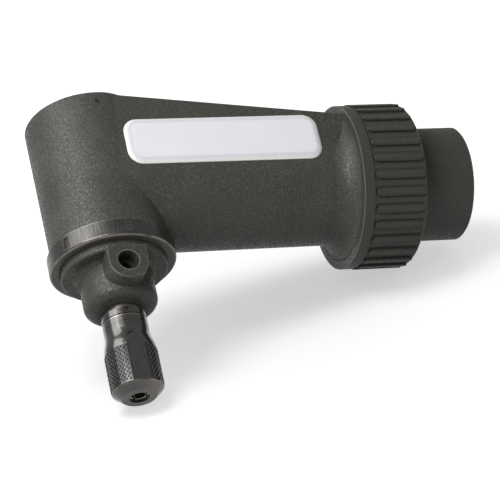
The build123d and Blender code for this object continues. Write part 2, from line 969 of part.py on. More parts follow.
pieces = [
    housing.part,
    tool_socket.part,
    swivel_ring.part,
    slip_washer.part,
    coupling_ring.part,
    drive_shaft.part,
    bevel_pinion.part,
    pinion_pin.part,
    pinion_shim.part,
    bearing_spacer.part,
    bore_circlip.part,
    shaft_circlip.part,
    spindle.part,
    bevel_gear.part,
    gear_pin.part,
    gear_shim.part,
    needle_cup.part,
    needle_rollers.part,
    bearing_cap.part,
    retaining_band.part,
    neck_seal.part,
    collet.part,
    collet_nut.part,
    *bearing_pieces,
]
os.makedirs("parts", exist_ok=True)
for piece in pieces:
    export_step(piece, f"parts/{piece.label}.step")
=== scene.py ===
"""Right angle attachment for a rotary tool: surface pieces, finishes, light and camera.

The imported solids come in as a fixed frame. This file adds the plate on the barrel's side, the
knurl on the collet nut, the gate mark on the head and a material for every solid. Lengths in the
settings are metres, and lengths in the materials are millimetres.
"""

import math

import bmesh
import bpy
from bpy.props import FloatProperty, FloatVectorProperty, PointerProperty
from bpy.types import Operator, Panel, PropertyGroup
from mathutils import Matrix, Vector


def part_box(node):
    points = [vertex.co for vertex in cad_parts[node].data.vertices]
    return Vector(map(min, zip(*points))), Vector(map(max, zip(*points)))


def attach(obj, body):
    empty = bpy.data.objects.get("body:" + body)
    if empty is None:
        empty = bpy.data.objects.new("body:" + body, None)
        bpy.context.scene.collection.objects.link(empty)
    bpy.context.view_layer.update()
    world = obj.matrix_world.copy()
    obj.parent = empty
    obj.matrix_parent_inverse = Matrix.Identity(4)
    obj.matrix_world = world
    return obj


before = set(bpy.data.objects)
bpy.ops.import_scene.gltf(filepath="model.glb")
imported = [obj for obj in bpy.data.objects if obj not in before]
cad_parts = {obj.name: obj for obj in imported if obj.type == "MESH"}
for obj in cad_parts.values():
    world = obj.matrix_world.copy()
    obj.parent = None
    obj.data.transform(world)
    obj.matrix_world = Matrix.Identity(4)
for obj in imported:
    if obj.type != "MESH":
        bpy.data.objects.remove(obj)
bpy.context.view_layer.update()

bl_info = {
    "name": "Right angle attachment",
    "version": (1, 0, 0),
    "blender": (4, 5, 0),
    "location": "3D View > Sidebar > Attachment",
    "description": "Adds surface pieces, finishes and a studio to the packed solids",
    "category": "Object",
}

MM = 0.001
NUT_LOW, NUT_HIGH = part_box("collet_nut")
BAND_LOW, BAND_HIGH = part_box("retaining_band")
RING_LOW, RING_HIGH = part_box("coupling_ring")
SPINDLE_X = (NUT_LOW.x + NUT_HIGH.x) / 2

# Places on the solids in millimetres, for the materials
AXIS = SPINDLE_X / MM
HEAD_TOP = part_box("housing")[1].z / MM
RING_FRONT = RING_LOW.x / MM
RING_MIDDLE = (RING_LOW.x + RING_HIGH.x) / 2 / MM
RING_RADIUS = RING_HIGH.z / MM
BAND_FOOT, BAND_TOP = BAND_LOW.z / MM, BAND_HIGH.z / MM
BAND_RADIUS = BAND_HIGH.y / MM
# The coupling ring's ribs: how many, how far their middle is from the ring's, and half their length
RIBS = 30
RIB_OFFSET = 1.1
RIB_HALF = 5.2
# The retaining band's marks: first angle, spacing, half width, half height and middle's height
MARK_TURN = math.radians(213.5)
MARK_EVERY = math.radians(60)
MARK_HALF = (0.48, 1.0)
MARK_HEIGHT = (BAND_LOW.z + BAND_HIGH.z) / 2 / MM + 0.3
# The lock pin's boss on the bearing cap: its middle's height, its face, its radius and its hole
LOCK_HEIGHT = -21.3
LOCK_FACE = -10.8
BOSS_RADIUS = 3.9
HOLE_RADIUS = 2.06
# The bearing cap's skirt under the band
SKIRT_RADIUS = 10.6
SKIRT_FOOT = -18.4
# The tool socket's threaded bore
THREAD_RADIUS = 9.4
THREAD_END = -11.9
# The collet nut, from its top: the line under its collar, its lip, the line below, the knurl's
# middle and half length, and the cone's upper edge; then its flats and the knurl's grooves
COLLAR_LINE = -29.4
LIP = -29.62
SHANK_LINE = -30.9
KNURL_MIDDLE = -40.35
KNURL_HALF = 4.0
CONE_TOP = -44.3
FLAT_FROM = 4.74
KNURL_FROM = 5.05
# The collet's bore
COLLET_BORE = 1.66
COLLET_TOP = -30.0

# Colours of dirt and painted shade beside the ring's ribs, of painted shade in grooves and in the
# band's mark outlines, of the lock hole's inside, of painted shade under the band and between the
# knurl's diamonds, and of the collet's bore
RIB_FOOT_DIRT_AND_SHADE = (0.004, 0.004, 0.003)
SHADE = (0.004, 0.004, 0.004)
LINE_SHADE = (0.006, 0.006, 0.006)
HOLE_COLOUR = (0.03, 0.031, 0.027)
BAND_UNDERSIDE_SHADE = (0.026, 0.025, 0.021)
KNURL_VALLEY_SHADE = (0.012, 0.0118, 0.0115)
BORE_COLOUR = (0.03, 0.028, 0.024)
# Darker and lighter colour and least roughness of the ground steels
GROUND = ((0.68, 0.62, 0.54), (0.92, 0.87, 0.79), 0.18)
SPRING = ((0.1, 0.1, 0.105), (0.2, 0.2, 0.21), 0.32)
DRAWN = ((0.6, 0.6, 0.61), (0.78, 0.78, 0.79), 0.3)
# Strength and tint of the plastics' shine
BODY_SHINE = 0.26
RING_SHINE = 0.32
COOL = (0.86, 0.94, 1.0, 1.0)


class Wire:
    """One socket in a node tree. An expression on wires and numbers adds its Math nodes."""

    def __init__(self, tree, socket):
        self.tree = tree
        self.socket = socket

    def plug(self, target):
        self.tree.links.new(self.socket, target)

    def math(self, operation, *others, clamp=False):
        node = self.tree.nodes.new("ShaderNodeMath")
        node.operation = operation
        node.use_clamp = clamp
        for value, socket in zip((self, *others), node.inputs):
            feed(value, socket)
        return Wire(self.tree, node.outputs[0])

    def reflected(self, operation, first):
        node = self.tree.nodes.new("ShaderNodeMath")
        node.operation = operation
        node.inputs[0].default_value = first
        self.plug(node.inputs[1])
        return Wire(self.tree, node.outputs[0])

    def __add__(self, other):
        return self.math("ADD", other)

    __radd__ = __add__

    def __sub__(self, other):
        return self.math("SUBTRACT", other)

    def __rsub__(self, other):
        return self.reflected("SUBTRACT", other)

    def __mul__(self, other):
        return self.math("MULTIPLY", other)

    __rmul__ = __mul__

    def __truediv__(self, other):
        return self.math("DIVIDE", other)

    def __rtruediv__(self, other):
        return self.reflected("DIVIDE", other)

    def __pow__(self, other):
        return self.math("POWER", other)

    def __mod__(self, other):
        return self.math("FLOORED_MODULO", other)

    def __abs__(self):
        return self.math("ABSOLUTE")

    def at_least(self, limit):
        return self.math("MAXIMUM", limit)

    def at_most(self, limit):
        return self.math("MINIMUM", limit)

    def above(self, edge, soft):
        """0 below the edge and 1 above it, over a soft step of this width."""
        return ((self - (edge - soft / 2)) / soft).math("ADD", 0.0, clamp=True)

    def below(self, edge, soft):
        return 1 - self.above(edge, soft)

    def near(self, middle, half, soft):
        """1 within half of the middle and 0 away from it."""
        return abs(self - middle).below(half, soft)


def feed(value, socket):
    """A wire is linked to the socket, and anything else becomes its value."""
    if isinstance(value, Wire):
        value.plug(socket)
    elif value is not None:
        socket.default_value = value


def distance(one, other):
    """Distance over two sides at a right angle."""
    return (one * one + other * other).math("SQRT")


def rgba(colour):
    return colour if isinstance(colour, Wire) else (*colour[:3], 1.0)


class Tree:
    """Adds nodes to a tree: settings first, then the values or wires of their sockets."""

    def __init__(self, tree):
        self.tree = tree

    def add(self, kind, sockets=None, out=0, **settings):
        node = self.tree.nodes.new(kind)
        for name, value in settings.items():
            setattr(node, name, value)
        for key, value in (sockets or {}).items():
            feed(value, node.inputs[key])
        return Wire(self.tree, node.outputs[out])

    def split(self, vector):
        node = self.tree.nodes.new("ShaderNodeSeparateXYZ")
        vector.plug(node.inputs[0])
        return [Wire(self.tree, socket) for socket in node.outputs]

    def joined(self, x, y, z):
        return self.add("ShaderNodeCombineXYZ", {0: x, 1: y, 2: z})


class Finish(Tree):
    """A material on its way: its shader, and the object's coordinates in millimetres."""

    def __init__(self, name):
        self.material = bpy.data.materials.new(name)
        self.material.use_nodes = True
        super().__init__(self.material.node_tree)
        self.shader = self.tree.nodes["Principled BSDF"]
        metres = self.add("ShaderNodeTexCoord", out="Object")
        self.place = self.add(
            "ShaderNodeVectorMath", {0: metres, "Scale": 1000.0}, operation="SCALE"
        )
        self.x, self.y, self.z = self.split(self.place)

    def noise(self, size, detail=2.0, rough=0.5, place=None):
        """Soft noise from 0 to 1 whose features are about this many millimetres wide."""
        sockets = {
            "Vector": place or self.place,
            "Scale": 1 / size,
            "Detail": detail,
            "Roughness": rough,
        }
        return self.add("ShaderNodeTexNoise", sockets)

    def stretched(self, x, y, z, turn=(0, 0, 0)):
        """The object's place, turned and with each axis scaled, for marks with a direction."""
        return self.add(
            "ShaderNodeMapping", {"Vector": self.place, "Rotation": turn, "Scale": (x, y, z)}
        )

    def off_barrel(self):
        """Distance from the barrel's axis."""
        return distance(self.y, self.z)

    def off_spindle(self):
        """Distance from the spindle's axis."""
        return distance(self.x - AXIS, self.y)

    def round_spindle(self):
        """Angle about the spindle's axis."""
        return self.y.math("ARCTAN2", self.x - AXIS)

    def round_barrel(self):
        """Angle about the barrel's axis."""
        return self.z.math("ARCTAN2", self.y)

    def mixed(self, share, first, second):
        """A colour between two others."""
        sockets = {0: share, 6: rgba(first), 7: rgba(second)}
        return self.add("ShaderNodeMix", sockets, out=2, data_type="RGBA")

    def bumped(self, height, depth, under=None):
        """The surface's normal over a height from 0 to 1 that is this many millimetres deep."""
        sockets = {"Height": height, "Distance": depth * MM, "Strength": 1.0, "Normal": under}
        return self.add("ShaderNodeBump", sockets)

    def done(self, colour, roughness, normal=None, metallic=0.0, **fixed):
        feed(rgba(colour), self.shader.inputs["Base Color"])
        feed(roughness, self.shader.inputs["Roughness"])
        feed(metallic, self.shader.inputs["Metallic"])
        feed(normal, self.shader.inputs["Normal"])
        for name, value in fixed.items():
            self.shader.inputs[name.replace("_", " ")].default_value = value
        return self.material


def moulded_grain(finish, size, depth, under=None):
    """Spark-eroded grain: fine pits with a softer and wider roll under them."""
    fine = finish.noise(size, 2.0, 0.6)
    roll = finish.noise(size * 7, 2.0)
    return finish.bumped(fine * 0.75 + roll * 0.6, depth, under)


def glinting(finish, smooth_part, rough_part):
    """Roughness of grained plastic: polished points between matt ones, so that it glints."""
    turned = finish.stretched(1.3, 1.1, 1.2, (0.4, 0.3, 0.2))
    points = finish.noise(0.5, 1.0, 0.6, turned)
    return smooth_part + points.above(0.5, 0.1) * (rough_part - smooth_part)


def body_plastic(settings):
    """Grained dark plastic of the head and barrel, with the mould's seam on the head's front, a
    rubbed edge round its top and fine scratches."""
    f = Finish("body_plastic")
    cloud = f.noise(9.0, 3.0)
    fleck = f.noise(0.34, 1.0, 0.6)
    light = fleck.above(0.58, 0.12) * 0.32 + cloud.above(0.5, 0.5) * 0.15
    colour = f.mixed(light, settings.body_colour, settings.body_fleck)
    seam = abs(f.y).below(0.07, 0.06) * f.x.below(AXIS, 1.0)
    rub = f.noise(2.2, 4.0, 0.65).above(0.6, 0.15)
    top_edge = f.z.above(HEAD_TOP - 0.6, 0.5) * f.x.below(AXIS + 14, 1.0)
    colour = f.mixed(top_edge * rub * 0.3, colour, settings.worn_and_highlight_plastic)
    scratch = f.noise(1.0, 0.0, 0.5, f.stretched(0.25, 1.1, 3.6, (0.5, 0.2, 0.9)))
    lines = scratch.near(0.5, 0.006, 0.01) * cloud.above(0.5, 0.1)
    lines = lines * f.x.below(AXIS - 2.0, 3.0)
    colour = f.mixed(lines * 0.9, colour, settings.worn_and_highlight_plastic)
    roughness = glinting(f, 0.22, 0.6) + cloud * 0.06
    normal = moulded_grain(f, 0.4, 0.12, f.bumped(seam, 0.05))
    return f.done(
        colour, roughness, normal, Specular_IOR_Level=BODY_SHINE, Specular_Tint=COOL
    )


def ring_plastic(settings):
    """Plastic of the coupling ring: rounded ribs with dirt and painted shade beside them, and a
    patchy painted highlight along its front edge.
    """
    f = Finish("ring_plastic")
    away = f.off_barrel()
    cloud = f.noise(5.0, 3.0)
    fleck = f.noise(0.3, 2.0, 0.7)
    # Place across a rib, from its middle
    turn = (math.pi / 2 - f.round_barrel()) * (RIBS / (2 * math.pi))
    across = (turn % 1.0 - 0.5) * (2 * math.pi * RING_RADIUS / RIBS)
    along = f.x.near(RING_MIDDLE + RIB_OFFSET, RIB_HALF, 0.2)
    top = away.above(RING_RADIUS - 0.2, 0.1)
    crown = (1 - (across / 0.85) ** 2).at_least(0.0) * top * along
    # Dirt and painted shade along the foot of each rib, in the field beside it
    dirt_and_shade_beside_ribs = abs(across).near(1.05, 0.15, 0.4) * (1 - top) * along
    # Painted highlight: a patchy lighter line along the ring's front edge
    front = f.x.near(RING_FRONT + 0.05, 0.08, 0.1) * away.above(RING_RADIUS - 0.3, 0.1)
    colour = f.mixed(fleck.above(0.66, 0.16) * 0.35, settings.ring_colour, settings.body_fleck)
    colour = f.mixed(dirt_and_shade_beside_ribs * 0.6, colour, RIB_FOOT_DIRT_AND_SHADE)
    colour = f.mixed(front * cloud.above(0.3, 0.3) * 0.7, colour, settings.worn_and_highlight_plastic)
    roughness = glinting(f, 0.34, 0.6) + dirt_and_shade_beside_ribs * 0.3
    normal = moulded_grain(f, 0.4, 0.08, f.bumped(crown, 0.4))
    return f.done(
        colour, roughness, normal, Specular_IOR_Level=RING_SHINE, Specular_Tint=COOL
    )


def sleeve_plastic(settings):
    """Plastic of the tool socket: grained outside, and threaded inside."""
    f = Finish("sleeve_plastic")
    away = f.off_barrel()
    inside = away.below(THREAD_RADIUS, 0.2) * f.x.above(THREAD_END, 0.1)
    turns = f.x / settings.thread_pitch * MM + f.round_barrel() / (2 * math.pi)
    wave = abs(turns % 1.0 - 0.5) * 2
    cloud = f.noise(6.0, 3.0)
    fleck = f.noise(0.3, 2.0, 0.7)
    colour = f.mixed(fleck.above(0.66, 0.16) * 0.4, settings.ring_colour, settings.body_fleck)
    # Painted shade in the thread's grooves inside the bore
    colour = f.mixed(inside * wave.below(0.35, 0.3) * 0.8, colour, SHADE)
    groove = f.bumped(wave * inside, 0.6)
    roughness = glinting(f, 0.36, 0.62) + cloud * 0.06
    normal = moulded_grain(f, 0.36, 0.07, groove)
    return f.done(
        colour, roughness, normal, Specular_IOR_Level=RING_SHINE, Specular_Tint=COOL
    )


def cap_plastic(settings):
    """The body's plastic on the bearing cap, with painted highlights on the lock boss's edge and
    the hole's rim, and painted light on the disc's side under the band.
    """
    f = Finish("cap_plastic")
    cloud = f.noise(3.0, 3.0)
    fleck = f.noise(0.34, 1.0, 0.6)
    colour = f.mixed(fleck.above(0.58, 0.12) * 0.32, settings.body_colour, settings.body_fleck)
    across = abs(f.x - AXIS)
    height = f.z - LOCK_HEIGHT
    # The boss is round below its hole and straight above it
    from_boss = distance(across, height.at_most(0.0))
    from_hole = distance(across, height)
    on_face = f.y.below(LOCK_FACE + 0.2, 0.1)
    front = f.x.below(AXIS - 1.5, 3.0)
    # Painted highlights: a lighter line round the boss's edge, mostly on its left, and round the
    # hole's rim, mostly on its right, in patches
    edge = from_boss.near(BOSS_RADIUS, 0.1, 0.1) * on_face * (0.15 + front * 0.85)
    rim = from_hole.near(HOLE_RADIUS + 0.14, 0.06, 0.1) * on_face * (1 - front * 0.75)
    rubbed = (edge + rim).at_most(1.0) * cloud.above(0.35, 0.3)
    colour = f.mixed(rubbed, colour, settings.worn_and_highlight_plastic)
    inside = from_hole.below(HOLE_RADIUS, 0.04) * (1 - on_face) * f.y.below(0.0, 1.0)
    colour = f.mixed(inside, colour, HOLE_COLOUR)
    # Painted light: the disc's side wall under the band is lifted towards the fleck colour
    skirt = f.off_spindle().above(SKIRT_RADIUS, 0.1) * f.z.above(SKIRT_FOOT, 0.2)
    colour = f.mixed(skirt * 0.15, colour, settings.body_fleck)
    roughness = glinting(f, 0.2, 0.6) + cloud * 0.06 + inside * 0.4
    normal = moulded_grain(f, 0.42, 0.12)
    return f.done(
        colour, roughness, normal, Specular_IOR_Level=BODY_SHINE, Specular_Tint=COOL
    )


def blackened_band(settings):
    """Blackened steel of the retaining band: fine upright tool marks, bright rubbed edges, the
    outlines of its six marks in painted shade away from the front and in a painted highlight on it,
    and painted shade on its underside."""
    f = Finish("blackened_band")
    round_it = f.round_spindle() * BAND_RADIUS
    marks = f.noise(1.0, 2.0, 0.6, f.joined(round_it * 3.0, f.z * 0.2, 0.0))
    cloud = f.noise(2.5, 3.0)
    low_edge = f.z.near(BAND_FOOT + 0.2, 0.1, 0.2)
    high_edge = f.z.near(BAND_TOP - 0.06, 0.06, 0.08)
    rubbed = (low_edge + high_edge * 0.6) * cloud.above(0.42, 0.25)
    turn = (f.round_spindle() - MARK_TURN + MARK_EVERY / 2) % MARK_EVERY - MARK_EVERY / 2
    off_side = abs(turn * BAND_RADIUS) - MARK_HALF[0]
    off_end = abs(f.z - MARK_HEIGHT) - MARK_HALF[1]
    # Painted shade in the marks' outlines, which becomes a painted highlight on the marks at the
    # front
    outline = off_side.at_least(off_end).near(0.0, 0.06, 0.08)
    on_front = f.x.above(AXIS - 4.0, 1.0)
    colour = f.mixed(marks.above(0.55, 0.4) * 0.6, settings.oxide_colour, settings.oxide_light)
    colour = f.mixed(rubbed * 0.7, colour, settings.warm_steel_and_highlight)
    outline_shade_and_highlight = f.mixed(on_front, LINE_SHADE, settings.warm_steel_and_highlight)
    colour = f.mixed(outline * (0.9 - on_front * 0.45), colour, outline_shade_and_highlight)
    # Painted shade on the band's underside: a dark olive that is barely metal
    under = f.z.below(BAND_FOOT + 0.05, 0.04)
    colour = f.mixed(under, colour, BAND_UNDERSIDE_SHADE)
    roughness = 0.28 + marks * 0.1 + cloud * 0.08 + under * 0.4
    normal = f.bumped(marks, 0.05)
    metal = 0.85 - under * 0.75
    return f.done(colour, roughness, normal, metal, Coat_Weight=0.5, Coat_Roughness=0.15)


def blackened_nut(settings):
    """Blackened steel of the collet nut: turned marks, ground flats, a rubbed nose with a painted
    highlight on its front, a painted highlight along the lip, and painted shade between the knurl's
    diamonds and in two fine grooves.
    """
    f = Finish("blackened_nut")
    away = f.off_spindle()
    turned = f.noise(0.12, 3.0, 0.7, f.joined(away * 0.6, 0.0, f.z))
    cloud = f.noise(1.6, 3.0)
    flat = abs(f.y).above(FLAT_FROM, 0.04)
    brushed = f.noise(1.0, 3.0, 0.7, f.stretched(7.0, 1.0, 0.8))
    grain = turned * (1 - flat) + brushed * flat
    nose = f.z.below(CONE_TOP, 0.4)
    # Painted highlight on the front of the cone, added to a rubbed edge round its top
    nose_painted_highlight = nose * f.x.near(AXIS + 2.2, 1.5, 4.0)
    cone_edge = cloud.above(0.5, 0.3) * f.z.near(CONE_TOP - 0.2, 0.2, 0.3)
    rubbed = cone_edge * 0.4 + nose_painted_highlight * 0.24
    colour = f.mixed(grain.above(0.5, 0.5) * 0.7, settings.nut_colour, settings.oxide_light)
    colour = f.mixed(rubbed.at_most(1.0), colour, settings.warm_steel_and_highlight)
    # Painted shade between the knurl's diamonds, darker than the nut's oxide
    valley = f.z.near(KNURL_MIDDLE, KNURL_HALF, 0.1) * away.above(KNURL_FROM, 0.05)
    colour = f.mixed(valley, colour, KNURL_VALLEY_SHADE)
    # Painted highlight along the lip
    lip = f.z.near(LIP, 0.07, 0.08)
    colour = f.mixed(lip * 0.9, colour, settings.warm_steel_and_highlight)
    # Painted shade in two fine grooves: under the collar and below the lip
    fine_line = f.z.near(SHANK_LINE, 0.05, 0.06) + f.z.near(COLLAR_LINE, 0.08, 0.06)
    colour = f.mixed(fine_line.at_most(1.0), colour, SHADE)
    roughness = 0.18 + grain * 0.12 + flat * 0.1 + valley * 0.35 + nose * 0.12
    return f.done(
        colour, roughness, f.bumped(grain, 0.008), 0.9, Coat_Weight=1.0, Coat_Roughness=0.1
    )


def knurled_steel(settings):
    """The knurl's diamonds: blackened in the grooves, rubbed bright at the points."""
    f = Finish("knurled_steel")
    cloud = f.noise(0.9, 3.0)
    point = f.off_spindle().above(settings.knurl_radius / MM - 0.09, 0.1) * (0.3 + cloud)
    colour = f.mixed(point.at_most(1.0), settings.nut_colour, settings.bare_steel)
    return f.done(colour, 0.28 + cloud * 0.12, f.bumped(f.noise(0.15, 2.0), 0.01), 0.9)


def ground_steel(name, colour, light, rough, round_barrel):
    """Ground round steel: fine rings about its own axis and a film of oil."""
    f = Finish(name)
    along = f.x if round_barrel else f.z
    rings = f.noise(1.0, 3.0, 0.7, f.joined(along * 9.0, f.off_barrel() * 0.8, 0.0))
    cloud = f.noise(2.0, 3.0)
    shade = f.mixed(rings * 0.6 + cloud * 0.4, colour, light)
    return f.done(shade, rough + rings * 0.14 + cloud * 0.08, f.bumped(rings, 0.006), 1.0)


def collet_steel():
    """Tempered steel of the collet, matt from use, and darker inside its bore."""
    f = Finish("collet_steel")
    cloud = f.noise(1.2, 3.0)
    rings = f.noise(1.0, 3.0, 0.7, f.joined(f.z * 9.0, f.off_spindle() * 4.0, 0.0))
    bore = f.off_spindle().below(COLLET_BORE, 0.03) * f.z.below(COLLET_TOP, 1.0)
    colour = f.mixed(rings * 0.6 + cloud * 0.4, (0.66, 0.6, 0.5), (0.95, 0.9, 0.8))
    colour = f.mixed(bore, colour, BORE_COLOUR)
    return f.done(colour, 0.36 + rings * 0.14, f.bumped(rings, 0.006), 0.45)


def gear_steel():
    """Case-hardened gears: straw tint, worked flanks and grease."""
    f = Finish("gear_steel")
    cloud = f.noise(1.8, 3.0)
    fine = f.noise(0.25, 3.0, 0.7)
    colour = f.mixed(cloud.above(0.5, 0.4), (0.32, 0.3, 0.27), (0.5, 0.47, 0.42))
    return f.done(colour, 0.28 + fine * 0.2, f.bumped(fine, 0.015), 1.0)


def seal_rubber():
    """Nitrile rubber: nearly black and matt, with a bloom in places."""
    f = Finish("seal_rubber")
    bloom = f.noise(1.2, 3.0)
    colour = f.mixed(bloom.above(0.55, 0.3), (0.02, 0.02, 0.019), (0.04, 0.039, 0.037))
    return f.done(colour, 0.6 + bloom * 0.2, f.bumped(f.noise(0.2, 2.0), 0.02))


def swivel_plastic():
    """Natural low-friction plastic of the swivel ring, greyed by use."""
    f = Finish("swivel_plastic")
    smear = f.noise(2.0, 3.0)
    colour = f.mixed(smear.above(0.5, 0.4), (0.7, 0.69, 0.64), (0.5, 0.48, 0.44))
    return f.done(colour, 0.45 + smear * 0.15, f.bumped(f.noise(0.4, 2.0), 0.01))


def plate_resin(settings, middle, size, corner):
    """White plate under a clear dome: a cream border, then a greyer band of painted shade where the
    dome bends.
    """
    f = Finish("plate_resin")
    cloud = f.noise(6.0, 2.0)
    dust = f.noise(0.5, 3.0)
    # Distance in from the plate's edge, by way of how far a place is out of its straight middle
    over_x = abs(f.x - middle[0] / MM) - (size[0] / 2 - corner) / MM
    over_z = abs(f.z - middle[1] / MM) - (size[1] / 2 - corner) / MM
    beyond = distance(over_x.at_least(0.0), over_z.at_least(0.0))
    beyond = beyond + over_x.at_least(over_z).at_most(0.0)
    inward = corner / MM - beyond
    colour = f.mixed(cloud * 0.25, settings.plate_colour, settings.plate_shade)
    # Painted shade in a greyer band where the dome bends
    colour = f.mixed(inward.near(0.95, 0.3, 0.5) * 0.55, colour, settings.plate_shade)
    colour = f.mixed(inward.below(0.3, 0.15), colour, settings.plate_rim)
    normal = f.bumped(cloud, 0.05)
    return f.done(
        colour, 0.16 + dust * 0.08, normal, Coat_Weight=1.0, Coat_Roughness=0.04, Coat_IOR=1.5
    )


def plate_edge(settings):
    """Silvered rim of the plate."""
    f = Finish("plate_edge")
    cloud = f.noise(1.5, 2.0)
    colour = f.mixed(cloud, settings.plate_rim, settings.plate_shade)
    return f.done(colour, 0.3 + cloud * 0.1, f.bumped(cloud, 0.01))


def painted_pit_shade():
    """Painted shade: the unlit bottom of the gate mark's groove."""
    f = Finish("painted_pit_shade")
    dust = f.noise(0.2, 2.0)
    colour = f.mixed(dust, (0.003, 0.003, 0.003), (0.007, 0.007, 0.006))
    return f.done(colour, 0.7 + dust * 0.2, f.bumped(dust, 0.01), Specular_IOR_Level=0.1)


def finish_node(name, material):
    """Makes the material the only one of a solid."""
    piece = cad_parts[name]
    piece.data.materials.clear()
    piece.data.materials.append(material)


def piece_from(name, mesh, body):
    """Adds a piece whose place is in its mesh, riding on a body."""
    piece = bpy.data.objects.new(name, mesh)
    bpy.context.scene.collection.objects.link(piece)
    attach(piece, body)


def bridged(shape, rings):
    """The faces between each ring of corners and the next: one list for each pair of rings."""
    rows = []
    for lower, upper in zip(rings, rings[1:]):
        row = []
        for place in range(len(lower)):
            after = (place + 1) % len(lower)
            row.append(shape.faces.new((lower[place], lower[after], upper[after], upper[place])))
        rows.append(row)
    return rows


def finished_mesh(name, shape, sharp):
    """The mesh of a closed shape, smooth except at edges over this many degrees."""
    bmesh.ops.recalc_face_normals(shape, faces=shape.faces)
    mesh = bpy.data.meshes.new(name)
    shape.to_mesh(mesh)
    shape.free()
    for face in mesh.polygons:
        face.use_smooth = True
    mesh.set_sharp_from_angle(angle=math.radians(sharp))
    return mesh


def rounded_outline(length, height, radius, steps):
    """Points round a rectangle with round corners, about its middle."""
    points = []
    for corner in range(4):
        middle_u = (length / 2 - radius) * (1 if corner in (0, 3) else -1)
        middle_v = (height / 2 - radius) * (1 if corner < 2 else -1)
        for step in range(steps + 1):
            angle = math.pi / 2 * (corner + step / steps)
            u = middle_u + radius * math.cos(angle)
            points.append((u, middle_v + radius * math.sin(angle)))
    return points


def barrel_side(x):
    """Y of the barrel's flat side at x, in metres: it leans in a little towards the ring."""
    at_head, at_ring = -0.01195, -0.01175
    start, length = 0.0008, 0.0498
    return at_head + (at_ring - at_head) * (x - (SPINDLE_X + start)) / length


def length_setting(name, description, default):
    return FloatProperty(name=name, description=description, default=default, unit="LENGTH")


def colour_setting(name, description, default):
    return FloatVectorProperty(
        name=name, description=description, default=default, subtype="COLOR"
    )


def power_setting(name, description, default):
    return FloatProperty(name=name, description=description, default=default)


class PlateSettings(PropertyGroup):
    """Sizes of the bare plate on the barrel's side."""

    start: length_setting("Start", "From the spindle's axis to the plate's near end", 0.0039)
    length: length_setting("Length", "Length along the barrel", 0.0408)
    height: length_setting("Height", "Height across the barrel", 0.01055)
    low_edge: length_setting("Lower edge", "Height of its lower edge over the axis", -0.0002)
    corner: length_setting("Corner radius", "Radius of the corners", 0.003)
    dome: length_setting("Dome", "Height of the dome over the barrel's side", 0.00062)


class KnurlSettings(PropertyGroup):
    """Sizes of the diamond knurl on the collet nut."""

    pitch: length_setting("Pitch", "Distance between diamonds round the nut", 0.00078)
    base: length_setting("Base radius", "Radius that the diamonds stand on", 0.005)
    height: length_setting("Height", "Height of a diamond over its base", 0.00034)
    top: length_setting("Top", "Height of the knurl's upper end", -0.0364)
    length: length_setting("Length", "Length of the knurl along the nut", 0.0079)
    flats: length_setting("Across flats", "Distance across the spanner flats", 0.009525)


class FinishSettings(PropertyGroup):
    """Colours of the finishes, and two sizes that they follow."""

    body_colour: colour_setting("Body", "Moulded plastic", (0.0335, 0.0344, 0.0268))
    body_fleck: colour_setting("Fleck", "Lit points of the grain", (0.11, 0.108, 0.1))
    ring_colour: colour_setting("Ring", "Plastic of the ring", (0.034, 0.035, 0.0272))
    # Rubbed plastic, and also the colour of the painted highlights on the ring's front edge and
    # round the cap's lock boss and hole
    worn_and_highlight_plastic: colour_setting("Worn plastic", "Rubbed plastic", (0.16, 0.16, 0.155))
    oxide_colour: colour_setting("Oxide", "Black oxide on steel", (0.035, 0.034, 0.033))
    nut_colour: colour_setting("Nut", "Black oxide on the nut", (0.026, 0.0255, 0.0245))
    oxide_light: colour_setting("Thin oxide", "Black oxide worn thin", (0.12, 0.115, 0.108))
    bare_steel: colour_setting("Bare steel", "Steel rubbed bare", (0.5, 0.49, 0.48))
    # Brown bare steel, and also the colour of the painted highlights on the band's front mark
    # outlines and on the nut's nose and lip
    warm_steel_and_highlight: colour_setting("Warm steel", "Brown-tinted bare steel", (0.3, 0.255, 0.21))
    plate_colour: colour_setting("Plate", "Face of the plate", (0.66, 0.66, 0.68))
    plate_shade: colour_setting("Plate shade", "Greyer places of the plate", (0.44, 0.45, 0.5))
    plate_rim: colour_setting("Plate rim", "Silvered rim", (0.72, 0.7, 0.65))
    thread_pitch: length_setting("Thread pitch", "Pitch of the socket's thread", 0.0254 / 12)
    knurl_radius: length_setting("Knurl radius", "Radius over the knurl's points", 0.00534)


class StudioSettings(PropertyGroup):
    """Light and ground."""

    key: power_setting("Key light", "Strength of the front light", 1.08)
    side: power_setting("Side light", "Strength of the left light", 0.48)
    top: power_setting("Top light", "Strength of the floor's light", 0.38)
    sky: power_setting("Sky", "Strength of the light from all round", 0.32)
    distance: length_setting("Lamp distance", "Distance of the lamps", 0.5)


